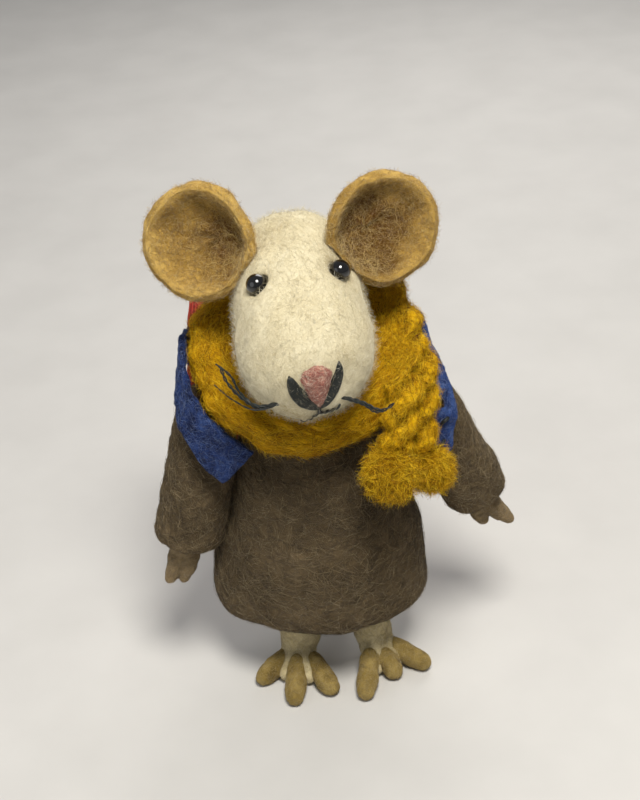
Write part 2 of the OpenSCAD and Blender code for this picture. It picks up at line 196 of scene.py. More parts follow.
def from_frame(name, node, voxel, rounds):
    """A soft piece that fills the place of a CAD node and stands for it."""
    mesh = frame["nodes"][node].data
    obj = link(name, mesh_of(name, points_of(mesh), triangles_of(mesh)))
    remeshed(obj, voxel, rounds)
    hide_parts(node)
    return obj


def stuffed(name, node, voxel, rounds, lumps, seed, wool, slot, body):
    """A plain stuffed piece in the place of a CAD node."""
    piece = from_frame(name, node, voxel, rounds)
    lumpy(piece, *lumps, seed=seed)
    dress(piece, wool, slot, body)
    return piece


def waves(points, size, seed):
    """A smooth random height over space, mostly from -1 to 1, with lumps of about one size."""
    count = 28
    random = np.random.default_rng(seed)
    ways = unit(random.normal(size=(count, points.shape[1])))
    ways = ways / (size * random.uniform(0.7, 1.7, (count, 1)))
    phase = random.uniform(0, TAU, count)
    return np.sin(TAU * points @ ways.T + phase).sum(axis=1) / math.sqrt(2 * count)


def lumpy(obj, *layers, seed=1, mask=None):
    """Raises and lowers a skin by layers of (size of the lumps, height)."""
    points, normals = points_of(obj.data), normals_of(obj.data)
    rise = sum(height * waves(points, size, seed + i) for i, (size, height) in enumerate(layers))
    if mask is not None:
        rise = rise * mask(points)
    move(obj, points + normals * rise[:, None])
    return obj


def near(points, place, reach):
    """1 at a place, falling smoothly to 0 a few reaches away."""
    return np.exp(-((points - np.asarray(place)) ** 2).sum(axis=1) / (reach * reach))


def paint(obj, values):
    """Writes how light each point is painted, from 0 to 1; 0.5 is plain: the wool's own tone, and in
    places painted light and shade.
    """
    layer = obj.data.attributes.get("shade") or obj.data.attributes.new("shade", "FLOAT", "POINT")
    layer.data.foreach_set("value", np.clip(values, 0, 1).astype(np.float32))
    return obj


def tree_of(obj):
    return BVHTree.FromPolygons(points_of(obj.data).tolist(), triangles_of(obj.data).tolist())


def on_skin(tree, spots, height):
    """Moves points on to a skin, or to a height over it."""
    out = []
    for spot, up in zip(spots, np.broadcast_to(height, len(spots))):
        place, facing, _, _ = tree.find_nearest(list(spot))
        out.append(np.array(place) + np.array(facing) * up)
    return np.array(out)


def swept(path, samples):
    """Evenly spaced points on a smooth curve through a few points."""
    path = np.asarray(path, float)
    padded = np.vstack([2 * path[0] - path[1], path, 2 * path[-1] - path[-2]])
    out = []
    for i in range(len(path) - 1):
        a, b, c, d = padded[i:i + 4]
        t = np.linspace(0, 1, 24, endpoint=i == len(path) - 2)[:, None]
        out.append(0.5 * (2 * b + (c - a) * t + (2 * a - 5 * b + 4 * c - d) * t ** 2
                          + (3 * b - a - 3 * c + d) * t ** 3))
    fine = np.vstack(out)
    far = np.concatenate([[0], np.cumsum(np.linalg.norm(np.diff(fine, axis=0), axis=1))])
    at = np.linspace(0, far[-1], samples)
    return np.stack([np.interp(at, far, fine[:, k]) for k in range(3)], axis=1)


def rope_points(path, radii, sides):
    """Rings of points round a path, and the triangles of a closed skin over them."""
    path = np.asarray(path, float)
    radii = np.broadcast_to(radii, len(path))
    ways = unit(np.gradient(path, axis=0))
    side = unit(np.cross(ways[0], [0.31, 0.22, 0.93]))
    rings = []
    for p, w, r in zip(path, ways, radii):
        side = unit(side - w * (side @ w))
        up = np.cross(w, side)
        turn = np.arange(sides)[:, None] * TAU / sides
        rings.append(p + r * (np.cos(turn) * side + np.sin(turn) * up))
    n, last = sides, len(path) - 1
    faces = []
    for i in range(last):
        for j in range(n):
            k = (j + 1) % n
            faces.append((i * n + j, i * n + k, (i + 1) * n + k))
            faces.append((i * n + j, (i + 1) * n + k, (i + 1) * n + j))
    points = np.vstack(rings + [path[:1], path[-1:]])
    for j in range(n):
        k = (j + 1) % n
        faces.append((len(points) - 2, k, j))
        faces.append((len(points) - 1, last * n + j, last * n + k))
    return points, np.array(faces)


def bundle(name, ropes):
    """One mesh of several closed ropes, each given as (path, radii, sides)."""
    points, faces, start = [], [], 0
    for path, radii, sides in ropes:
        p, f = rope_points(path, radii, sides)
        points.append(p)
        faces.append(f + start)
        start += len(p)
    return link(name, mesh_of(name, np.concatenate(points), np.concatenate(faces)))


def tapered(path, radii, sides=16, samples=28):
    """A rope of changing thickness with rounded ends."""
    line = swept(path, samples)
    share = np.linspace(0, 1, samples)
    wide = np.interp(share, np.linspace(0, 1, len(radii)), radii)
    far = share * np.linalg.norm(np.diff(line, axis=0), axis=1).sum()
    ends = np.minimum(np.minimum(far, far[-1] - far) / wide, 1)
    return line, wide * np.sqrt(np.maximum(1 - (1 - ends) ** 2, 0.02)), sides


def closed_grid(name, rows):
    """A closed skin over rows of points round one axis, shut by a middle point at both ends."""
    count, sides = rows.shape[:2]
    i, j = np.meshgrid(np.arange(count - 1), np.arange(sides), indexing="ij")
    i, j = i.ravel(), j.ravel()
    k = (j + 1) % sides
    a, b, c, d = i * sides + j, i * sides + k, (i + 1) * sides + k, (i + 1) * sides + j
    j, k = np.arange(sides), (np.arange(sides) + 1) % sides
    first, edge = np.full(sides, count * sides), (count - 1) * sides
    faces = [np.stack(three, axis=1) for three in
             ((a, d, c), (a, c, b), (first, j, k), (first + 1, edge + k, edge + j))]
    points = np.vstack([rows.reshape(-1, 3), rows[0].mean(axis=0), rows[-1].mean(axis=0)])
    return link(name, mesh_of(name, points, np.concatenate(faces)))


# --- Fibres: real strands of wool, laid on or standing out of a skin ---

WORN = {}  # each dressed piece's slot and body, by its name


def strands(name, paths, radii, shades, materials):
    """Thin closed three-sided tubes, tapered to both ends, one material slot per shade."""
    count, steps = paths.shape[:2]
    ways = unit(np.gradient(paths, axis=1) + 1e-9)
    side = unit(np.cross(ways, np.array([0.42, 0.33, 0.85])) + 1e-9)
    up = np.cross(ways, side)
    taper = 0.25 + 0.75 * np.sin(np.linspace(0.12, math.pi - 0.1, steps))
    thick = (radii[:, None] * taper)[:, :, None]
    rings = [paths + thick * (math.cos(TAU * j / 3) * side + math.sin(TAU * j / 3) * up)
             for j in range(3)]
    points = np.stack(rings, axis=2).reshape(-1, 3)
    one = []
    for i in range(steps - 1):
        for j in range(3):
            k = (j + 1) % 3
            one += [(3 * i + j, 3 * i + k, 3 * i + 3 + k), (3 * i + j, 3 * i + 3 + k, 3 * i + 3 + j)]
    one += [(2, 1, 0), (3 * steps - 3, 3 * steps - 2, 3 * steps - 1)]
    one = np.array(one)
    faces = (one[None] + 3 * steps * np.arange(count)[:, None, None]).reshape(-1, 3)
    obj = link(name, mesh_of(name, points, faces))
    for material in materials:
        obj.data.materials.append(material)
    obj.data.polygons.foreach_set("material_index", np.repeat(shades, len(one)).astype(np.int32))
    return obj


def fibres(name, base, materials, count, length, radius, lift, comb=None, spread=math.pi,
           stand=0.0, curl=0.5, steps=5, where=None, seed=1, weights=None):
    """Wool fibres over a skin. Lying fibres rise by up to lift in their middle; standing ones
    leave the skin by stand times their length. comb gives the way they lie at some points."""
    random = np.random.default_rng(seed)
    points, tris = points_of(base.data), triangles_of(base.data)
    tree = tree_of(base)
    a, b, c = (points[tris[:, k]] for k in range(3))
    area = np.linalg.norm(np.cross(b - a, c - a), axis=1)
    normals = normals_of(base.data)[tris].mean(axis=1)
    if where is not None:
        area = area * where((a + b + c) / 3, normals)
    pick = random.choice(len(tris), count, p=area / area.sum())
    u, v = random.random((2, count, 1))
    flip = (u + v) > 1
    u, v = np.where(flip, 1 - u, u), np.where(flip, 1 - v, v)
    root = a[pick] + u * (b - a)[pick] + v * (c - a)[pick]
    normal = unit(normals[pick])
    way = random.normal(size=(count, 3)) if comb is None else comb(root)
    way = unit(way - normal * (way * normal).sum(axis=1, keepdims=True) + 1e-9)
    turn = random.normal(0, spread, count) if comb is not None else np.zeros(count)
    turn = turn[:, None]
    way = way * np.cos(turn) + np.cross(normal, way) * np.sin(turn)
    reach = length * random.uniform(0.55, 1.45, count)
    bend = random.normal(0, curl, (count, steps)).cumsum(axis=1) * 0.6
    rise = lift * random.random(count) ** 1.6
    out = stand * reach * random.uniform(0.3, 1.0, count)
    paths = np.empty((count, steps, 3))
    here = root.copy()
    for k in range(steps):
        t = k / (steps - 1)
        if k:
            turn = bend[:, k:k + 1]
            heading = way * np.cos(turn) + np.cross(normal, way) * np.sin(turn)
            here = here + heading * (reach / (steps - 1) * (1 - 0.6 * min(stand, 1.0)))[:, None]
            for i in range(count):
                spot, facing, _, _ = tree.find_nearest(here[i].tolist())
                here[i] = spot
                normal[i] = facing
            way = unit(way - normal * (way * normal).sum(axis=1, keepdims=True) + 1e-9)
        height = rise * math.sin(math.pi * min(1, 0.08 + 0.9 * t)) + out * t ** 1.2
        paths[:, k] = here + normal * (height - radius * 0.3)[:, None]
    radii = radius * random.uniform(0.6, 1.25, count)
    shares = np.ones(len(materials)) if weights is None else np.array(weights, float)
    shades = random.choice(len(materials), count, p=shares / shares.sum())
    settle(strands(name, paths, radii, shades, materials), *WORN[base.name])


# --- Materials ---

def linear(colour):
    """A colour given on the 0 to 255 scale, as the shader wants it."""
    return tuple(((x / 255 + 0.055) / 1.055) ** 2.4 if x > 10 else x / 255 / 12.92
                 for x in colour) + (1.0,)


BANDS_PER_SCALE = 0.314  # a wave texture's scale, times the distance between its bands


class Nodes:
    """A material's nodes, added one after another."""

    def __init__(self, name, textured=True):
        self.material = bpy.data.materials.new(name)
        self.material.use_nodes = True
        self.tree = self.material.node_tree
        self.shader = self.tree.nodes["Principled BSDF"]
        if textured:
            self.place = self.add("TexCoord").outputs["Object"]

    def add(self, kind, links=None, **values):
        node = self.tree.nodes.new("ShaderNode" + kind)
        for key, value in values.items():
            if hasattr(node, key):
                setattr(node, key, value)
            else:
                node.inputs[key.replace("_", " ")].default_value = value
        for key, source in (links or {}).items():
            self.tree.links.new(source, node.inputs[key])
        return node

    def join(self, source, target):
        self.tree.links.new(source, target)

    def feed(self, **sources):
        """Joins sources to the shader's sockets, named with _ for a space."""
        for key, source in sources.items():
            self.join(source, self.shader.inputs[key.replace("_", " ")])

    def fix(self, **values):
        """Sets the shader's sockets, named with _ for a space."""
        for key, value in values.items():
            self.shader.inputs[key.replace("_", " ")].default_value = value

    def noise(self, size, detail, rough, output="Fac"):
        """Noise whose blobs are about size millimetres across."""
        return self.add("TexNoise", {"Vector": self.place}, Scale=1 / (size * MM),
                        Detail=detail, Roughness=rough).outputs[output]

    def bands(self, vector, way, pitch, warp, detail):
        """Wavy bands pitch millimetres apart."""
        return self.add("TexWave", {"Vector": vector}, bands_direction=way, Distortion=warp,
                        Scale=BANDS_PER_SCALE / (pitch * MM), Detail=detail).outputs["Fac"]

    def math(self, operation, a, b):
        node = self.add("Math", operation=operation)
        for socket, value in zip(node.inputs, (a, b)):
            if isinstance(value, (int, float)):
                socket.default_value = value
            else:
                self.join(value, socket)
        return node.outputs[0]

    def ramp(self, factor, stops):
        node = self.add("ValToRGB", {"Fac": factor})
        ramp = node.color_ramp
        while len(ramp.elements) < len(stops):
            ramp.elements.new(0.5)
        for element, (at, colour) in zip(ramp.elements, stops):
            element.position = at
            element.color = linear(colour)
        return node.outputs["Color"]

    def bump(self, height, depth, strength, normal=None):
        node = self.add("Bump", {"Height": height}, Distance=depth * MM, Strength=strength)
        if normal is not None:
            self.join(normal, node.inputs["Normal"])
        return node.outputs["Normal"]

    def range(self, factor, low, high):
        return self.add("MapRange", {"Value": factor}, To_Min=low, To_Max=high).outputs["Result"]


def felt(name, deep, plain, pale, patch, sheen=0.4, contrast=0.8):
    """Wool felt: cloudy patches, a fine grain and swirling fibres, lighter where painted so."""
    grain, thread, depth = 0.45, 0.32, 0.1
    n = Nodes(name)
    patches = n.noise(patch, 3.0, 0.6)
    fine = n.noise(grain, 6.0, 0.7)
    drift = n.noise(3.2, 2.0, 0.5, "Color")
    swirl = n.add("VectorMath", {0: drift}, operation="SCALE")
    swirl.inputs["Scale"].default_value = 7 * MM
    bent = n.add("VectorMath", {0: n.place, 1: swirl.outputs[0]}, operation="ADD").outputs[0]
    lines = n.bands(bent, "DIAGONAL", thread, 3.0, 2.0)
    tone = n.math("ADD", n.math("MULTIPLY", patches, 0.42), n.math("MULTIPLY", fine, 0.38))
    tone = n.math("ADD", tone, n.math("MULTIPLY", lines, 0.20))
    tone = n.math("MULTIPLY", n.math("SUBTRACT", tone, 0.5), contrast)
    shade = n.add("Attribute", attribute_name="shade").outputs["Fac"]
    tone = n.math("ADD", tone, shade)
    relief = n.bump(fine, depth, 0.55, n.bump(lines, depth * 0.5, 0.4))
    n.feed(Base_Color=n.ramp(tone, [(0.22, deep), (0.5, plain), (0.78, pale)]),
           Normal=relief, Roughness=n.range(fine, 0.8, 1.0))
    n.fix(Sheen_Weight=sheen, Sheen_Roughness=0.5, Sheen_Tint=linear(pale),
          Specular_IOR_Level=0.2)
    return n.material


def woven(name, deep, plain, pale, pitch=0.9):
    """Woven wool cloth: over and under yarns, with wool fuzz."""
    n = Nodes(name)
    cloth = n.math("MAXIMUM", *(n.bands(n.place, way, pitch, 0.6, 2.0) for way in ("X", "Z")))
    fine = n.noise(0.5, 5.0, 0.7)
    patches = n.noise(6.0, 3.0, 0.6)
    tone = n.math("ADD", n.math("MULTIPLY", cloth, 0.35), n.math("MULTIPLY", fine, 0.4))
    tone = n.math("ADD", tone, n.math("MULTIPLY", patches, 0.3))
    n.feed(Base_Color=n.ramp(tone, [(0.25, deep), (0.55, plain), (0.85, pale)]),
           Normal=n.bump(fine, 0.15, 0.6, n.bump(cloth, 0.3, 0.9)),
           Roughness=n.range(fine, 0.8, 1.0))
    n.fix(Sheen_Weight=0.2, Sheen_Tint=linear(pale), Specular_IOR_Level=0.2)
    return n.material


def bead(name):
    """A glossy glass bead, with faint scuffs."""
    n = Nodes(name)
    scuffs = n.noise(0.9, 4.0, 0.6)
    n.feed(Base_Color=n.ramp(scuffs, [(0.3, (6, 6, 7)), (0.8, (20, 20, 22))]),
           Roughness=n.range(scuffs, 0.04, 0.16), Normal=n.bump(scuffs, 0.02, 0.3))
    n.fix(Coat_Weight=0.8, Coat_Roughness=0.03)
    return n.material


def steel(name):
    """Drawn wire, dulled and a little scratched."""
    n = Nodes(name)
    scratches = n.noise(0.5, 6.0, 0.7)
    n.feed(Base_Color=n.ramp(scratches, [(0.3, (120, 118, 115)), (0.7, (196, 195, 192))]),
           Roughness=n.range(scratches, 0.25, 0.5), Normal=n.bump(scratches, 0.03, 0.4))
    n.fix(Metallic=1.0)
    return n.material


def cotton(name, dark, light):
    """Glazed cotton thread: tight diagonal plies and a soft gloss."""
    n = Nodes(name)
    plies = n.bands(n.place, "DIAGONAL", 0.3, 1.0, 2.0)
    fuzz = n.noise(0.4, 4.0, 0.7)
    tone = n.math("ADD", n.math("MULTIPLY", plies, 0.5), n.math("MULTIPLY", fuzz, 0.5))
    n.feed(Base_Color=n.ramp(tone, [(0.3, dark), (0.8, light)]),
           Normal=n.bump(tone, 0.08, 0.6), Roughness=n.range(fuzz, 0.4, 0.65))
    return n.material


def wools(name, *colours, sheen=0.3):
    """One material for each shade of a kind of wool fibre."""
    made = []
    for i, colour in enumerate(colours):
        n = Nodes(f"{name}_{i + 1}", textured=False)
        n.fix(Base_Color=linear(colour), Roughness=0.7, Sheen_Weight=sheen,
              Specular_IOR_Level=0.25)
        made.append(n.material)
    return made


def dress(obj, material, slot, body):
    """Gives a piece its material and attaches it to the body that it rides on, noting its slot."""
    obj.data.materials.clear()
    obj.data.materials.append(material)
    if "shade" not in obj.data.attributes:
        paint(obj, np.full(len(obj.data.vertices), 0.5))
    WORN[obj.name] = (slot, body)
    settle(obj, slot, body)


def settle(obj, slot, body):
    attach(obj, body)


# --- Camera, floor and light ---

VIEW_DISTANCE = 400.0
VIEW_ELEVATION = math.radians(34)
VIEW_ROLL = math.radians(4.5)
VIEW_OFFSET = np.array([-1.75, -2.4, 3.3])  # from the middle of the CAD box
LENS_MM = 68.4
LENS_SHIFT = (-0.0025, 0.0375)

# Each light's place and the point it faces, its width in mm, its power in watts and its colour.
LIGHTS = {"key": ((60, -250, 620), (0, 0, 90), 220, 4.0, (1.0, 0.97, 0.90)),
          "fill": ((-460, -330, 300), (0, 0, 70), 500, 0.5, (0.95, 0.97, 1.0)),
          "rim": ((120, 480, 420), (0, 0, 90), 400, 1.4, (1.0, 0.97, 0.93))}
WORLD_COLOUR = (0.93, 0.94, 0.96, 1)
WORLD_STRENGTH = 0.24
FLOOR_HALF = 3000.0


def aim(obj, place, target):
    obj.location = Vector(place) * MM
    look = Vector(np.asarray(target) - np.asarray(place))
    obj.rotation_euler = look.to_track_quat("-Z", "Y").to_euler()


def make_camera():
    centre = (np.array(CAD_BOX[0]) + np.array(CAD_BOX[1])) / 2 / MM
    target = centre + VIEW_OFFSET
    back = np.array([0, -math.cos(VIEW_ELEVATION), math.sin(VIEW_ELEVATION)])
    data = bpy.data.cameras.new("camera")
    camera = link("camera", data)
    aim(camera, target + VIEW_DISTANCE * back, target)
    camera.rotation_euler.rotate_axis("Z", -VIEW_ROLL)
    data.lens = LENS_MM
    data.sensor_width = 36
    data.shift_x, data.shift_y = LENS_SHIFT
    data.clip_start = 0.01
    data.clip_end = 20
    bpy.context.scene.camera = camera


def make_floor():
    steps = 24
    line = np.linspace(-FLOOR_HALF, FLOOR_HALF, steps)
    x, y = np.meshgrid(line, line)
    points = np.stack([x.ravel(), y.ravel(), np.zeros(x.size)], axis=1)
    faces = [(j * steps + i, j * steps + i + 1, (j + 1) * steps + i + 1, (j + 1) * steps + i)
             for j in range(steps - 1) for i in range(steps - 1)]
    floor = link("floor", mesh_of("floor", points, faces))
    n = Nodes("floor_paper")
    mottle = n.noise(30.0, 4.0, 0.5)
    n.feed(Base_Color=n.ramp(mottle, [(0.3, (205, 203, 200)), (0.7, (211, 209, 206))]),
           Roughness=n.range(mottle, 0.7, 0.85))
    floor.data.materials.append(n.material)


def make_light(name, place, target, size, power, colour):
    data = bpy.data.lights.new(name, "AREA")
    data.shape = "DISK"
    data.size = size * MM
    data.energy = power
    data.color = colour
    aim(link(name, data), place, target)


def make_lights():
    for name, setting in LIGHTS.items():
        make_light(name, *setting)
    world = bpy.data.worlds.new("studio")
    world.use_nodes = True
    sky = world.node_tree.nodes["Background"].inputs
    sky["Color"].default_value = WORLD_COLOUR
    sky["Strength"].default_value = WORLD_STRENGTH
    bpy.context.scene.world = world
    bpy.context.scene.view_settings.view_transform = "Standard"


# --- Head ---

def make_head():
    head = from_frame("head_felt", "head", 0.55, 10)
    points, normals = points_of(head.data), normals_of(head.data)
    eyes = [middle("eye_" + side) for side in SIDES]
    rise = 0.35 * waves(points, 9, 3) + 0.05 * waves(points, 3.2, 4)
    for eye in eyes:
        rise -= 0.9 * near(points, eye, 3.4)
    # The lip: the muzzle is needled in under the nose and full on both sides of it.
    rise -= 0.9 * near(points, on_muzzle(8.7, -34), 3.0)
    rise += 0.5 * near(points, on_muzzle(-12, -27), 5.0)
    rise += 0.5 * near(points, on_muzzle(26, -24), 5.0)
    rise += 0.7 * near(points, on_muzzle(-14, -37), 5.5)
    move(head, points + normals * rise[:, None])
    points = points_of(head.data)
    shade = 0.54 + 0.10 * waves(points, 14, 9)
    # Painted shade in the sunken eye sockets.
    for eye in eyes:
        shade -= 0.42 * near(points, eye, 3.6)
    shade -= 0.3 * near(points, on_muzzle(-14, -37), 4.5)
    # Painted shade on the head round the roots of the ears.
    for side in SIDES:
        shade -= 0.25 * near(points, middle("ear_" + side) * 0.45 + cranium * 0.55, 9)
    paint(head, shade)
    cream = felt("cream_felt", (152, 134, 96), (210, 199, 166), (233, 225, 199), patch=6)
    dress(head, cream, "cream_felt", "head")

    def up_the_face(spots):
        return np.tile(-face_way + np.array([0, 0, 0.35]), (len(spots), 1))

    def outside(spots, facing):
        away = spots - cranium
        along = np.clip(away @ face_way, 0, np.linalg.norm(muzzle - cranium))
        core = spots - cranium - along[:, None] * face_way
        open_side = (unit(core) * facing).sum(axis=1) > 0.2
        clear = np.ones(len(spots))
        for eye in eyes:
            clear *= 1 - near(spots, eye, EYE_R + 1.0)
        return open_side * clear

    hair = wools("cream_wool", (222, 212, 182), (208, 197, 163), (236, 229, 207), (188, 175, 138))
    for seed in (21, 22):
        fibres(f"head_fibres_{seed - 20}", head, hair, 8500, 2.8, 0.026, 0.1, comb=up_the_face,
               spread=0.6, curl=0.35, steps=4, where=outside, seed=seed, weights=(4, 3, 2, 1))
    fibres("head_fluff", head, hair, 13500, 2.1, 0.025, 0.2, stand=0.7, curl=0.6, steps=3,
           where=outside, seed=23)
    return head


# Where the middle of each ear's cup stands, the way it opens and how much it is squashed.
EARS = {"right": ((-24.5, -5, 135), (-0.25, -0.93, 0.27), 0.0),
        "left": ((20.8, -5, 135.0), (0.22, -0.93, 0.27), 0.04)}

# How strongly painted shade darkens each ear: its hollow most, and its side towards the head.
EAR_PAINTED_SHADE = {"right": 1.0, "left": 1.7}


def make_ear(side, seed):
    """A thick cup of felt: deepest towards the head, with a soft rolled rim."""
    seat, facing, squash = EARS[side]
    seat, facing = part(*seat), unit(facing)
    inward = unit(cranium - seat)
    inward = unit(inward - facing * (inward @ facing))
    cross = np.cross(facing, inward)
    sides, thick, deep = 190, 3.0, 6.0
    turn = np.arange(sides) * TAU / sides
    ring = np.stack([np.cos(turn), np.sin(turn)], axis=1)
    outline = EAR_R * (1 - squash * ring[:, 1] ** 2 - 0.03 * np.clip(ring[:, 0], 0, 1))
    outline = outline + 0.45 * waves(ring, 1.1, seed)
    pit = EAR_R * np.array([0.20, 0.14 * np.sign(cross[2])])
    rows, fronts, shares = [], [], []

    def row(share, out, height, front):
        flat = pit * (1 - share) + ring * (outline * share + out)[:, None]
        rows.append(seat + flat[:, :1] * inward + flat[:, 1:] * cross + np.outer(height, facing))
        fronts.append(np.full(sides, front))
        shares.append(np.full(sides, share))

    hollow = 1 + 0.10 * waves(ring, 1.4, seed + 1)
    for share in np.linspace(0.02, 1, 44):
        lip = 0.9 * math.exp(-((share - 0.93) / 0.11) ** 2)
        row(share, -thick / 2 * share, -deep * hollow * (1 - share ** 2.5) + lip, 1.0)
    for angle in np.linspace(75, -75, 9):
        a = math.radians(angle)
        row(1, thick / 2 * (math.cos(a) - 1), np.full(sides, thick / 2 * (math.sin(a) - 1)), 1.0)
    for share in np.linspace(1, 0.02, 36):
        row(share, -thick / 2 * share, -deep * hollow * (1 - share ** 2.5) - thick, 0.0)
    rows, front, share = np.array(rows), np.concatenate(fronts), np.concatenate(shares)
    # Where it meets the head it lies on the head's felt.
    spots = rows.reshape(-1, 3)
    along = np.clip((spots - cranium) @ face_way, 0, np.linalg.norm(muzzle - cranium))
    core = cranium + along[:, None] * face_way
    skin = CRANIUM_R + along / np.linalg.norm(muzzle - cranium) * (MUZZLE_R - CRANIUM_R)
    inside = skin + 0.1 + 0.5 * front - np.linalg.norm(spots - core, axis=1)
    spots = spots + unit(spots - core) * np.maximum(inside, 0)[:, None]
    ear = closed_grid(f"ear_{side}_felt", spots.reshape(rows.shape))
    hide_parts("ear_" + side)
    lumpy(ear, (7, 0.3), (2.6, 0.12), seed=seed + 2)
    points = points_of(ear.data)
    front, share = np.append(front, [1, 0]), np.append(share, [0, 0])
    toward = np.clip(((points - seat) @ inward) / EAR_R, 0, 1)
    cup = np.exp(-(share / 0.62) ** 2) * front
    rim = np.exp(-((share - 0.97) / 0.12) ** 2)
    dark = EAR_PAINTED_SHADE[side]
    # Painted shade darkens the hollow of the cup and its side towards the head, and the rolled rim is
    # painted paler, over the wool's own random tone.
    paint(ear, 0.66 - 0.10 * dark - 0.40 * dark * cup
          - 0.26 * dark * toward * front * (1 - 0.6 * rim) + 0.10 * rim
          + 0.07 * waves(points, 8, seed + 3))
    dress(ear, EAR_FELT, "ear_felt", "head")
    fibres(f"ear_{side}_fibres", ear, EAR_WOOL, 6000, 3.0, 0.028, 0.2, curl=0.8, steps=4,
           seed=seed + 4, weights=(3, 3, 2, 1))
    fibres(f"ear_{side}_fluff", ear, EAR_WOOL, 5500, 1.9, 0.026, 0.2, stand=0.6, curl=0.8,
           steps=3, seed=seed + 5)

    def root(spots, facing):
        return 0.02 + np.clip(((spots - seat) @ inward) / EAR_R - 0.2, 0, 1)

    fibres(f"ear_{side}_frizz", ear, EAR_WOOL, 500, 5.5, 0.04, 0.8, curl=1.1, steps=7,
           where=root, seed=seed + 6, weights=(2, 1, 3, 0))


def make_eyes():
    for side in SIDES:
        node = frame["nodes"]["eye_" + side]
        node.material_slots[0].material = bead("eye_bead_" + side)


def make_nose(head):
    """A low pad of pink wool between the stitches: round above and pointed below."""
    tree = tree_of(head)
    turn = np.arange(56) * TAU / 56
    low = np.clip(-np.sin(turn), 0, 1)
    rows, under = [], []
    for share in np.linspace(0.06, 1, 14):
        across = 8.0 + share * 13.5 * np.cos(turn) * (1 - 0.55 * low)
        up = 6.0 + share * np.sin(turn) * np.where(np.sin(turn) > 0, 11.0, 33.0)
        spots = [on_muzzle(a, e) for a, e in zip(across, up)]
        rows.append(on_skin(tree, spots, 1.45 * (1 - share ** 2.4) ** 0.5 - 0.35))
        under.append(on_skin(tree, spots, -1.2))
    nose = closed_grid("nose_wool_patch", np.array(rows + under[::-1]))
    remeshed(nose, 0.22, 3)
    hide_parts("nose")
    lumpy(nose, (1.7, 0.14), (0.8, 0.05), seed=41)
    paint(nose, 0.5 + 0.2 * waves(points_of(nose.data), 2.2, 43))
    pink = felt("nose_felt", (122, 66, 58), (174, 112, 96), (212, 168, 148), patch=1.8)
    dress(nose, pink, "nose_wool", "head")
    hair = wools("nose_wool_fibre", (180, 120, 104), (202, 152, 134), (144, 84, 74), (222, 196, 176))
    fibres("nose_fibres", nose, hair, 2400, 1.8, 0.035, 0.25, curl=1.0, steps=4, seed=44)


def satin_stitch(tree, angles, half_width):
    """Threads side by side under one outline, widest in the middle, as satin stitch lies."""
    line = swept([on_muzzle(a, e) for a, e in angles], 16)
    line = on_skin(tree, line, 0.0)
    out = unit(line - muzzle)
    across = unit(np.cross(out, np.gradient(line, axis=0)))
    t = np.linspace(0, 1, len(line))
    belly = np.sin(math.pi * t) ** 0.65
    ropes = []
    for k in np.linspace(-1, 1, 9):
        wide = across * (k * half_width * belly)[:, None]
        height = 0.12 + 0.5 * math.sqrt(max(0.0, 1 - k * k)) * belly ** 0.5
        path = on_skin(tree, line + wide, height)
        ropes.append((path, 0.21 * (0.6 + 0.4 * belly), 7))
    return ropes


def make_stitches(head):
    tree = tree_of(head)
    thread = cotton("black_cotton", (9, 11, 10), (38, 44, 40))
    strokes = satin_stitch(tree, [(-14.5, 9), (-10.5, -3), (-5, -13), (2, -21), (8.2, -29)], 1.75)
    strokes += satin_stitch(tree, [(28, 16), (27, 6), (23, -5), (16.5, -17), (9.2, -28)], 1.35)
    nose = bundle("nose_satin_stitch", strokes)
    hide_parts("nose_stitches")
    dress(nose, thread, "black_thread", "head")

    def stitch(angles, radius):
        path = swept([on_muzzle(a, e) for a, e in angles], 9)
        arch = 0.2 + 0.35 * np.sin(np.linspace(0, math.pi, 9))
        return (on_skin(tree, path, arch), radius, 7)

    mouth = bundle("mouth_back_stitch", [
        stitch([(8.2, -27), (8.3, -36)], 0.42), stitch([(9.2, -27), (9.0, -36.5)], 0.40),
        stitch([(8.5, -36), (13.5, -36.6)], 0.38), stitch([(12.6, -36.8), (18.6, -35.6)], 0.36),
        stitch([(18, -35.8), (23.4, -32.2)], 0.34), stitch([(23, -32.6), (28, -26.5)], 0.30),
        stitch([(8.6, -36), (2, -40)], 0.28), stitch([(2.4, -39.8), (-4, -41.6)], 0.18),
        stitch([(-3.5, -41.5), (-10, -41)], 0.12)])
    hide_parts("mouth_stitches")
    dress(mouth, thread, "black_thread", "head")
    return thread


def wound(path, samples, across, turns, phase=0.0):
    """A smooth path, and the way out of it to a strand that winds round it."""
    path = swept(path, samples)
    ways = unit(np.gradient(path, axis=0))
    side = unit(np.cross(ways, across))
    turn = (phase + TAU * turns * np.linspace(0, 1, samples))[:, None]
    return path, np.cos(turn) * side + np.sin(turn) * np.cross(ways, side)


def twisted(path, strand_r, turns, phase=0.0):
    """Two plies twisted round a path."""
    path, out = wound(path, 48, [0.2, 0.3, 0.9], turns, phase)
    off = out * strand_r * 0.75
    thin = strand_r * np.linspace(1.0, 0.55, len(path))
    return [(path + off, thin, 6), (path - off, thin, 6)]


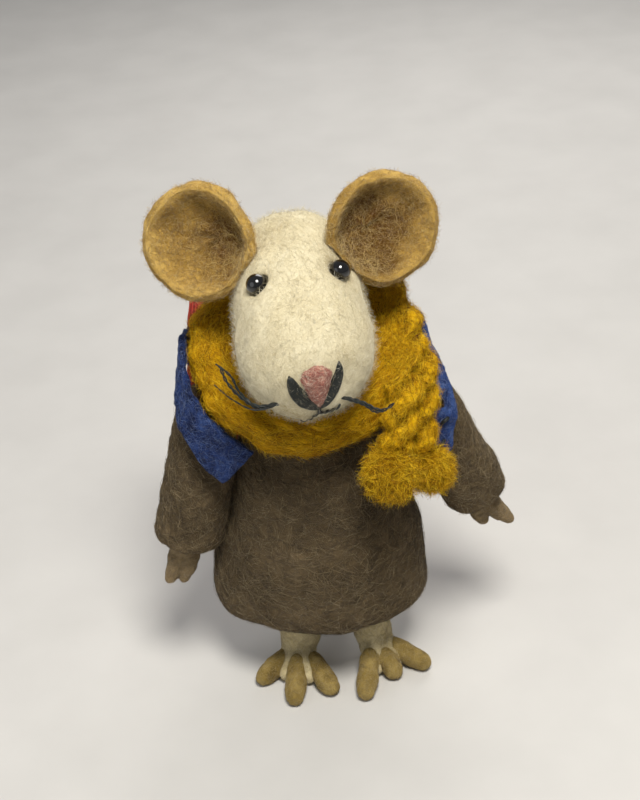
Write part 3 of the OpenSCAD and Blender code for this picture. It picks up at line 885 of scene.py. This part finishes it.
def make_whiskers(thread):
    right_root, left_root = on_muzzle(-24, -20.5, -0.4), on_muzzle(27.5, -20, -0.4)
    right = twisted([right_root, part(-12, -37.2, 107.3), part(-16.2, -36.6, 110.2),
                     part(-19.2, -35.8, 114.2), part(-20.4, -35, 117.8)], 0.31, 5)
    right += twisted([right_root, part(-12.8, -37, 107.9), part(-16.6, -35.8, 111.4),
                      part(-18.2, -35.2, 115.4), part(-21.4, -34.4, 118.6)], 0.24, 5, 1.0)
    right += twisted([right_root, part(-13, -37.8, 107.2), part(-18.2, -37.6, 110.4),
                      part(-22.2, -37, 114.6)], 0.16, 4, 2.0)
    left = twisted([left_root, part(12, -38.4, 107.4), part(15, -39, 105.6),
                    part(17.2, -38.8, 105.2), part(19.4, -38.2, 106.4)], 0.32, 4)
    left += twisted([left_root, part(12.2, -38.8, 107.0), part(14.6, -39.4, 105.2),
                     part(16.6, -39, 104.9)], 0.25, 4, 1.2)
    for side, ropes in (("right", right), ("left", left)):
        whiskers = bundle(f"whisker_threads_{side}", ropes)
        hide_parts("whiskers_" + side)
        dress(whiskers, thread, "black_thread", "head")


# --- Scarf ---

RING_X = np.array([1.0, 0, 0])
RING_Y = np.cross(neck_axis, RING_X)
# The muzzle as it turns: how far out and how high its middle is, and its clear radius.
SWEEP_OUT, SWEEP_HIGH, SWEEP_R = 16.0, 20.1, MUZZLE_R + 1.5


def on_ring(angle, radius, height):
    """A point round the neck; angle 0 is the mouse's left and -90 degrees its front."""
    angle, radius, height = np.broadcast_arrays(angle, radius, height)
    a = np.asarray(angle, float)[..., None]
    way = np.cos(a) * RING_X + np.sin(a) * RING_Y
    return collar + radius[..., None] * way + height[..., None] * neck_axis


def along_ring(spots):
    away = spots - collar
    return np.cross(neck_axis, away) + 0.25 * neck_axis * np.linalg.norm(away, axis=1)[:, None]


def ring_ceiling(radius):
    """How high the scarf may stand at a radius, under the turning muzzle."""
    return SWEEP_HIGH - np.sqrt(np.maximum(SWEEP_R ** 2 - (radius - SWEEP_OUT) ** 2, 0))


def under_head(points):
    """Lowers points that would be in the way of the turning head."""
    away = points - collar
    height = away @ neck_axis
    radius = np.linalg.norm(away - height[:, None] * neck_axis, axis=1)
    ceiling = np.where(radius < SWEEP_OUT + SWEEP_R, ring_ceiling(radius), height)
    return points - neck_axis * np.maximum(height - ceiling, 0)[:, None]


def make_scarf():
    around, section = 300, 72
    a, t = np.meshgrid(np.arange(around) * TAU / around, np.arange(section) * TAU / section,
                       indexing="ij")
    a, t = a.ravel(), t.ravel()
    half_s = (RING_HIGH - RING_LOW) / 2
    round_it = 0.78
    c = np.sign(np.cos(t)) * np.abs(np.cos(t)) ** round_it
    s = np.sign(np.sin(t)) * np.abs(np.sin(t)) ** round_it
    # Drawn-out wool: ridges that run along the ring and wind slowly round it.
    wind = t + 2 * a
    strand = np.stack([RING_R * np.cos(a) / 15, RING_R * np.sin(a) / 15,
                       RING_HALF * np.cos(wind) / 2.4, half_s * np.sin(wind) / 2.4], axis=1)
    broad = np.stack([RING_R * np.cos(a) / 13, RING_R * np.sin(a) / 13,
                      np.cos(t), np.sin(t)], axis=1)
    spots = on_ring(a, RING_R + RING_HALF * c, (RING_HIGH + RING_LOW) / 2 + half_s * s)
    lumps = waves(spots, 7.5, 66)
    ridges = waves(strand, 1.0, 61)
    throat = on_ring(-math.pi / 2, 24.0, -6.0)
    rise = (1.2 * near(spots, throat, 14) + 0.30 * ridges + 0.6 * waves(broad, 1.0, 62)
            + 0.75 * lumps - 0.5)
    for side in SIDES:
        rise = rise - 1.6 * near(spots, pivot("arm_raise_" + side), 12)
    radius = RING_R + (RING_HALF + rise) * c
    height = (RING_HIGH + RING_LOW) / 2 + (half_s + rise) * s
    height = np.minimum(height, ring_ceiling(radius))
    points = on_ring(a, radius, height)
    i, j = np.meshgrid(np.arange(around), np.arange(section), indexing="ij")
    k, m = (i + 1) % around, (j + 1) % section
    faces = np.stack([i * section + j, k * section + j, k * section + m, i * section + m], axis=-1)
    ring = link("scarf_roving", mesh_of("scarf_roving", points, faces.reshape(-1, 4)))
    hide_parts("scarf_ring")
    # Painted shade on the inner side, towards the neck, and painted light where the ridges and lumps
    # stand out, over the wool's own tone.
    inner = np.clip(-c, 0, 1)
    paint(ring, 0.52 + 0.12 * ridges + 0.18 * lumps - 0.3 * inner)
    dress(ring, SCARF_FELT, "scarf_wool", "torso")
    for seed in (63, 64):
        fibres(f"scarf_fibres_{seed - 62}", ring, SCARF_WOOL, 7600, 8.5, 0.045, 0.7,
               comb=along_ring, spread=0.5, curl=0.4, steps=5, seed=seed,
               weights=(3, 3, 2, 1, 2))
    fibres("scarf_fluff", ring, SCARF_WOOL, 13500, 3.6, 0.034, 0.4, comb=along_ring, stand=0.5,
           spread=1.2, curl=0.7, steps=3, seed=65, weights=(3, 3, 1, 1, 3))


def plait(path, strand_r, apart, turns):
    """Two thick strands of wool wound round each other, bulging between their crossings."""
    path, out = wound(path, 90, [0.2, 0.9, 0.3], turns)
    off = out * apart
    u = np.linspace(0, 1, len(path))
    ends = np.minimum(1, np.minimum(u, 1 - u) * 9 + 0.35)
    radii = strand_r * ends * (1 + 0.10 * np.cos(2 * TAU * turns * u))
    return [(path + off, radii, 20), (path - off, radii, 20)]


def make_plait(name, path, strand_r, apart, turns, seed, count, nodes=()):
    rope = bundle(name, plait(path, strand_r, apart, turns))
    remeshed(rope, 0.5, 7)
    lumpy(rope, (4.0, 0.5), (1.6, 0.16), seed=seed)
    move(rope, under_head(points_of(rope.data)))
    line = swept(path, 60)
    ways = unit(np.gradient(line, axis=0))

    def along(spots):
        near_line = ((spots[:, None] - line[None]) ** 2).sum(axis=2).argmin(axis=1)
        return ways[near_line]

    # Painted light on the bulges and painted shade in the grooves between them.
    points = points_of(rope.data)
    reach = np.sqrt(((points[:, None] - line[None]) ** 2).sum(axis=2).min(axis=1))
    reach = reach / (strand_r + apart)
    paint(rope, 0.66 + 1.7 * (reach - 0.9).clip(-0.4, 0.1) + 0.14 * waves(points, 2.5, seed + 2))
    if nodes:
        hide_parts(*nodes)
    dress(rope, SCARF_FELT, "scarf_wool", "torso")
    fibres(name + "_fibres", rope, SCARF_WOOL, count, 4.2, 0.045, 0.5, comb=along, spread=0.6,
           curl=0.5, steps=4, seed=seed + 3, weights=(3, 4, 2, 2, 4))
    fibres(name + "_fluff", rope, SCARF_WOOL, count * 2 // 3, 3.1, 0.034, 0.5, comb=along, stand=0.55,
           spread=1.2, curl=0.7, steps=3, seed=seed + 4, weights=(3, 3, 1, 1, 3))


def make_scarf_ends():
    turn = np.radians([95, 68, 44, 22, 2, -12])
    make_plait("scarf_plait", on_ring(turn, np.array([24, 25, 25.5, 25.5, 25.5, 25.5]),
                                      np.array([0.5, 1.6, 1.8, 1.8, 1.8, 2.2])),
               2.7, 2.6, 2.2, 71, 6500)
    make_plait("scarf_hanging_front", [part(22.4, -9.5, 110), part(23.2, -17, 105.2),
                                       part(23, -21.2, 101.2), part(22, -23.8, 96.6),
                                       part(21.1, -24.8, 91), part(19.2, -26.8, 83.6)],
               2.3, 2.0, 2.1, 81, 4500, ["scarf_end_front"])
    make_plait("scarf_hanging_back", [part(27.2, -9, 106.2), part(27.6, -14.4, 100.8),
                                      part(27.2, -17.1, 94.5), part(26.6, -19.4, 89),
                                      part(26.4, -22.0, 80)],
               2.4, 1.9, 1.9, 91, 4500, ["scarf_end_back"])


def make_tassel(which, seed, knot):
    """A ball of fluff that spreads downwards from the end of the scarf."""
    node = "tassel_" + which
    tassel = from_frame(node + "_fluff", node, 0.6, 4)
    centre = middle(node)
    points = points_of(tassel.data)
    away = points - centre
    size = np.linalg.norm(away, axis=1).max()
    down = unit(centre - knot)
    low = (away @ down) / size
    points = centre + away * (0.72 + 0.08 * low)[:, None]
    move(tassel, points)
    lumpy(tassel, (4.5, 0.6), (1.8, 0.25), seed=seed)
    paint(tassel, 0.42 + 0.26 * waves(points_of(tassel.data), 2.6, seed + 4))
    dress(tassel, SCARF_FELT, "tassel_wool", "torso")

    def spread_down(spots):
        return down + 0.5 * unit(spots - centre)

    fibres(node + "_fibres", tassel, SCARF_WOOL, 9000, 4.2, 0.045, 0.4, comb=spread_down,
           stand=0.8, spread=1.2, curl=0.5, steps=4, seed=seed + 5, weights=(3, 4, 3, 3, 5))


# --- Tunic, sleeves and what is under them ---

def make_tunic():
    tunic = from_frame("tunic_cloth", "tunic", 0.9, 6)
    low, high = corners("tunic")

    def loose(points):
        return 0.35 + 0.65 * np.clip((high[2] - points[:, 2]) / (high[2] - low[2]), 0, 1)

    points = points_of(tunic.data)
    points[:, 2] += 2.0 * np.clip(1 - (points[:, 2] - low[2]) / 30, 0, 1)
    move(tunic, points)
    lumpy(tunic, (30, 0.9), (11, 0.35), (3.5, 0.1), seed=101, mask=loose)
    points = points_of(tunic.data)
    paint(tunic, 0.48 + 0.10 * waves(points, 16, 105) + 0.06 * waves(points, 4, 106))
    dress(tunic, TUNIC_FELT, "tunic_felt", "torso")

    def level(spots):
        return np.cross([0, 0, 1.0], spots - middle("tunic")) + [0, 0, 0.01]

    for seed in (107, 108, 109):
        fibres(f"tunic_fibres_{seed - 106}", tunic, TUNIC_WOOL, 8000, 4.0, 0.04, 0.3,
               comb=level, spread=0.8, curl=0.7, steps=4, where=outer_side("tunic"), seed=seed,
               weights=(4, 4, 3, 2, 1))
    fibres("tunic_stray_hairs", tunic, TUNIC_WOOL, 3600, 7.0, 0.028, 0.8, comb=level,
           spread=0.9, curl=0.5, steps=5, where=outer_side("tunic"), seed=110,
           weights=(2, 3, 0, 3, 0))


def outer_side(node):
    """Keeps fibres to the faces that look away from the middle line of a node."""
    centre = middle(node)

    def outside(spots, facing):
        away = (spots - centre) * [1, 1, 0]
        return 0.02 + 0.98 * ((unit(away + 1e-9) * facing).sum(axis=1) > -0.1)

    return outside


# The mouse's side; how far the arm spreads and leans forward, in degrees; how far the sleeve
# sags in towards the tunic and how far each fingertip stands off the middle, in mm.
ARM_LEAN = {"right": (-1, 14, 8, 1.7, 2.1), "left": (1, 23, -6.5, 0, 3.8)}


def make_sleeve(side, seed):
    body = "arm_" + side
    sleeve = from_frame(f"sleeve_{side}_cloth", "sleeve_" + side, 0.6, 6)
    turned, spread, lean, inward, fingers = ARM_LEAN[side]
    # Loose cloth hangs in towards the tunic below the elbow.
    shoulder, hand = pivot("arm_raise_" + side), middle("hand_" + side)
    way = unit(hand - shoulder)
    points = points_of(sleeve.data)
    away = points - shoulder
    inner = np.clip((away - (away @ way)[:, None] * way)[:, 0] * -turned / 6, 0, 1)
    points[:, 0] -= turned * inward * inner * np.clip((away @ way) / 16, 0, 1)
    move(sleeve, points)
    lumpy(sleeve, (14, 0.5), (5, 0.22), (2.2, 0.08), seed=seed)
    points = points_of(sleeve.data)
    paint(sleeve, 0.48 + 0.10 * waves(points, 12, seed + 3))
    dress(sleeve, TUNIC_FELT, "tunic_felt", body)

    def outside(spots, facing):
        away = spots - shoulder
        away = away - (away @ way)[:, None] * way
        return 0.02 + 0.98 * ((unit(away + 1e-9) * facing).sum(axis=1) > -0.1)

    fibres(f"sleeve_{side}_fibres", sleeve, TUNIC_WOOL, 7600, 3.6, 0.04, 0.3, curl=0.7,
           steps=4, where=outside, seed=seed + 4, weights=(4, 4, 3, 2, 1))
    fibres(f"sleeve_{side}_stray_hairs", sleeve, TUNIC_WOOL, 1300, 6.0, 0.028, 0.8, curl=0.6,
           steps=5, where=outside, seed=seed + 5, weights=(2, 3, 0, 3, 0))
    # A hand: a palm and two pointed fingers.
    spread, lean = math.radians(spread), math.radians(lean)
    way = np.array([turned * math.sin(spread), -math.cos(spread) * math.sin(lean),
                    -math.cos(spread) * math.cos(lean)])
    wrist, palm = shoulder + 34.5 * way, shoulder + 40 * way
    ropes = [tapered([wrist, palm, palm + 5.5 * way], [3.2, 4.2, 4.2, 3.0])]
    for finger in (-1, 1):
        tip = palm + 11.6 * way + [finger * fingers + turned * 1.0, -1.4, 0]
        bend = palm + 6 * way + [finger * (0.6 + fingers / 2), -1, 0]
        ropes.append(tapered([palm + [finger * 0.8, -0.4, 0], bend, tip], [3.2, 3.0, 2.3, 1.1]))
    hand_felt = bundle(f"hand_{side}_felt", ropes)
    remeshed(hand_felt, 0.35, 5)
    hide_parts("hand_" + side)
    lumpy(hand_felt, (4, 0.2), (1.5, 0.06), seed=seed + 6)
    dress(hand_felt, HAND_FELT, "tan_felt", body)
    fibres(f"hand_{side}_fibres", hand_felt, HAND_WOOL, 3000, 1.8, 0.028, 0.2, curl=0.7,
           steps=4, seed=seed + 7)
    stuffed(f"arm_{side}_felt", "arm_" + side, 0.6, 5, [(5, 0.25), (2, 0.08)], seed + 8,
            TAN_FELT, "tan_felt", body)


# The middle of each leg and the floor points under the tips of its toes.
LEG_Y = -6.0
LEGS = {"right": (-9.0, ((-22, -18), (-12, -28), (0, -25))),
        "left": (12.0, ((8, -28), (18, -20.5), (28, -16.5)))}


def make_leg(side, seed):
    body = "leg_" + side
    x, tips = LEGS[side]
    ankle = part(x, LEG_Y, 0)
    ways = [part(*tip, 0) - ankle for tip in tips]
    ropes = [tapered([part(x, LEG_Y, 33.4), part(x, LEG_Y, 20), part(x, LEG_Y - 0.4, 9),
                      part(x, LEG_Y - 1, 3)], [5.5, 5.2, 4.9, 5.4, 5.6], 24)]
    ropes.append(tapered([ankle + [0, 3, 3.2], ankle + [0, -5, 3.2]], [3.6, 4.2, 3.6], 20))
    for a, b in zip(ways[:-1], ways[1:]):
        web = (a + b) / 2
        ropes.append(tapered([ankle + [0, 0, 6], ankle + 0.3 * web + [0, 0, 4.2],
                              ankle + 0.66 * web + [0, 0, 1.8]], [4.8, 4.0, 2.8, 1.6]))
    leg = bundle(f"leg_{side}_felt", ropes)
    remeshed(leg, 0.5, 6)
    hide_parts("leg_" + side, "foot_" + side)
    lumpy(leg, (9, 0.3), (3, 0.1), seed=seed)
    stand_flat(leg)
    points = points_of(leg.data)
    paint(leg, 0.5 + 0.12 * waves(points, 8, seed + 3))
    dress(leg, CREAM_FELT, "cream_felt", body)
    fibres(f"leg_{side}_fibres", leg, CREAM_WOOL, 4800, 2.8, 0.03, 0.3, curl=0.6, steps=4,
           seed=seed + 4)
    toes = bundle(f"toes_{side}_felt", [
        tapered([ankle + 0.24 * w + [0, 0, 5.6], ankle + 0.5 * w + [0, 0, 3.9],
                 ankle + 0.76 * w + [0, 0, 2.7],
                 ankle + w * (1 - 0.4 / np.linalg.norm(w)) + [0, 0, 2.1]],
                [2.2, 2.8, 3.0, 2.9, 2.2]) for w in ways])
    remeshed(toes, 0.35, 4)
    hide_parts("toes_" + side)
    lumpy(toes, (5, 0.22), (2, 0.08), seed=seed + 5)
    stand_flat(toes)
    points = points_of(toes.data)
    paint(toes, 0.5 + 0.12 * waves(points, 4, seed + 7))
    dress(toes, TAN_FELT, "tan_felt", body)
    fibres(f"toes_{side}_fibres", toes, TAN_WOOL, 4400, 2.0, 0.028, 0.2, curl=0.6, steps=4,
           seed=seed + 8)


def stand_flat(obj):
    """Keeps a sole on the floor."""
    points = points_of(obj.data)
    points[:, 2] = np.maximum(points[:, 2], 0.02)
    move(obj, points)


def make_tail():
    tail = stuffed("tail_felt_roll", "tail", 0.4, 5, [(7, 0.25), (2, 0.08)], 301,
                   TAIL_FELT, "tail_felt", "tail")
    hair = wools("tail_wool", (150, 112, 88), (176, 140, 112), (120, 84, 64))
    fibres("tail_fibres", tail, hair, 2200, 2.4, 0.03, 0.2, curl=0.5, steps=4, seed=303)


def make_insides():
    stuffed("stuffed_body", "body_core", 0.9, 8, [(12, 0.4), (4, 0.12)], 311,
            CORE_FELT, "core_felt", "torso")
    neck = stuffed("stuffed_neck", "neck", 0.6, 5, [(6, 0.15), (2, 0.05)], 313,
                   CREAM_FELT, "cream_felt", "neck")
    fibres("neck_fibres", neck, CREAM_WOOL, 900, 2.6, 0.03, 0.3, curl=0.6, steps=4, seed=315)
    wire = steel("armature_steel")
    for name, node in frame["nodes"].items():
        if "wire" in name or "fork" in name or name == "tail_pin":
            node.material_slots[0].material = wire


# --- Backpack ---

# The hand stitches on the left strap, three points along each.
STRAP_STITCHES = (((34.8, -14.2, 85), (34.1, -15.2, 84.4), (32.9, -14.8, 83.3)),
                  ((33.2, -15.4, 79), (32.4, -16.6, 78.3), (31.2, -16.2, 77.2)))


def make_straps(thread):
    for seed, side in ((401, "right"), (411, "left")):
        strap = from_frame(f"strap_{side}_felt", "strap_" + side, 0.38, 3)
        lumpy(strap, (7, 0.3), (2.2, 0.1), seed=seed)
        points = points_of(strap.data)
        # The right strap is painted darker all over, a painted shadow from the scarf and head; the left
        # one is plain.
        painted_shade_base = 0.34 if side == "right" else 0.5
        shade = painted_shade_base + 0.12 * waves(points, 5, seed + 3) + 0.10 * waves(points, 1.8, seed + 5)
        # Painted shade in the dimples round the stitches.
        for stitch in STRAP_STITCHES:
            shade -= 0.35 * near(points, part(*stitch[1]), 1.7)
        paint(strap, shade)
        dress(strap, STRAP_FELT, "strap_felt", "torso")
        fibres(f"strap_{side}_fibres", strap, STRAP_WOOL, 5500, 2.2, 0.03, 0.25, curl=0.7,
               steps=4, seed=seed + 4, weights=(3, 3, 3, 1))
    # The last strap made is the left one; its stitches lie on it.
    tree = tree_of(strap)
    arch = 0.1 + 0.45 * np.sin(np.linspace(0, math.pi, 9))
    stitches = bundle("strap_hand_stitches", [
        (on_skin(tree, swept([part(*spot) for spot in stitch], 9), arch), 0.48, 7)
        for stitch in STRAP_STITCHES])
    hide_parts("strap_stitches")
    dress(stitches, thread, "black_thread", "torso")


def make_backpack():
    bag = from_frame("backpack_cloth", "backpack_bag", 0.75, 22)
    low, high = corners("backpack_bag")
    centre = (low + high) / 2
    points, normals = points_of(bag.data), normals_of(bag.data)
    across = (points[:, 0] - centre[0]) / (high[0] - low[0]) * 2
    up = (points[:, 2] - low[2]) / (high[2] - low[2])
    # Filled low down, so it bellies at the back and slackens towards the mouth.
    belly = (1 - across ** 2).clip(0, 1) * np.sin(math.pi * np.clip(up * 0.9 + 0.1, 0, 1))
    back = points[:, 1] > centre[1]
    points[:, 1] += np.where(back, 3.4 * belly, 0)
    points[:, 2] -= 1.2 * (1 - across ** 2).clip(0, 1) * (1 - up) ** 2
    move(bag, points + normals * (0.5 * waves(points, 13, 421) + 0.15 * waves(points, 4, 422))[:, None])
    dress(bag, BAG_CLOTH, "bag_cloth", "torso")
    fibres("backpack_fibres", bag, BAG_WOOL, 5500, 2.0, 0.03, 0.25, curl=0.8, steps=4, seed=424)
    flap = from_frame("backpack_flap_cloth", "backpack_flap", 0.5, 14)
    low, high = corners("backpack_flap")
    points, normals = points_of(flap.data), normals_of(flap.data)
    across = (points[:, 0] - (low[0] + high[0]) / 2) / (high[0] - low[0]) * 2
    down = np.clip((high[2] - points[:, 2]) / (high[2] - low[2]), 0, 1)
    points[:, 1] += (1.0 + 3.0 * (1 - across ** 2)) * down * (points[:, 1] > high[1] - 3)
    move(flap, points + normals * (0.35 * waves(points, 9, 431))[:, None])
    dress(flap, BAG_CLOTH, "bag_cloth", "flap")
    fibres("backpack_flap_fibres", flap, BAG_WOOL, 3500, 2.0, 0.03, 0.25, curl=0.8, steps=4,
           seed=433)


# --- The kinds of wool ---

CREAM_FELT = felt("leg_cream_felt", (138, 120, 80), (202, 186, 142), (230, 218, 180), patch=5)
CREAM_WOOL = wools("leg_wool", (212, 198, 158), (190, 174, 130), (232, 222, 190), (160, 142, 98))
EAR_FELT = felt("ear_felt_cloth", (80, 50, 11), (178, 143, 70), (209, 178, 106), patch=5)
EAR_WOOL = wools("ear_wool", (186, 151, 78), (158, 124, 54), (215, 188, 120), (110, 74, 24))
TAN_FELT = felt("tan_felt_roll", (86, 68, 28), (142, 120, 64), (178, 156, 98), patch=4)
TAN_WOOL = wools("tan_wool", (152, 130, 74), (184, 162, 106), (122, 100, 50))
HAND_FELT = felt("hand_felt_roll", (84, 70, 46), (132, 112, 80), (168, 148, 112), patch=4)
HAND_WOOL = wools("hand_wool", (144, 124, 92), (172, 152, 118), (110, 92, 64))
TAIL_FELT = felt("tail_felt_cloth", (96, 66, 50), (146, 108, 84), (176, 140, 112), patch=5)
CORE_FELT = felt("core_felt_stuffing", (48, 40, 28), (88, 74, 52), (120, 103, 78), patch=8)
TUNIC_FELT = felt("tunic_felt_cloth", (44, 36, 24), (86, 72, 50), (122, 104, 77),
                  patch=6, sheen=0.15)
TUNIC_WOOL = wools("tunic_wool", (94, 79, 55), (120, 102, 74), (68, 56, 38), (160, 142, 108),
                   (44, 35, 23), sheen=0.1)
SCARF_FELT = felt("scarf_wool_roving", (82, 48, 0), (184, 136, 0),
                  (230, 186, 12), patch=4, sheen=0.0, contrast=1.1)
SCARF_WOOL = wools("scarf_wool_fibre", (204, 153, 0), (224, 178, 6), (168, 118, 0), (104, 66, 0),
                   (242, 204, 44), sheen=0.0)
STRAP_FELT = felt("strap_felt_cloth", (13, 20, 46), (34, 54, 106), (68, 94, 148),
                  patch=2.5, sheen=0.2, contrast=1.2)
STRAP_WOOL = wools("strap_wool", (46, 70, 130), (72, 98, 156), (26, 40, 84), (118, 138, 180),
                   sheen=0.2)
BAG_CLOTH = woven("bag_woven_cloth", (92, 18, 14), (158, 44, 34), (196, 86, 66))
BAG_WOOL = wools("bag_wool", (170, 54, 42), (196, 88, 70), (120, 28, 22))

make_camera()
make_floor()
make_lights()
head = make_head()
for seed, side in ((31, "right"), (51, "left")):
    make_ear(side, seed)
make_eyes()
make_nose(head)
thread = make_stitches(head)
make_whiskers(thread)
make_scarf()
make_scarf_ends()
make_tassel("front", 121, part(20, -25.4, 87))
make_tassel("back", 131, part(28.6, -21.9, 82.6))
make_tunic()
for seed, side in ((201, "right"), (221, "left")):
    make_sleeve(side, seed)
for seed, side in ((251, "right"), (271, "left")):
    make_leg(side, seed)
make_tail()
make_insides()
make_straps(thread)
make_backpack()
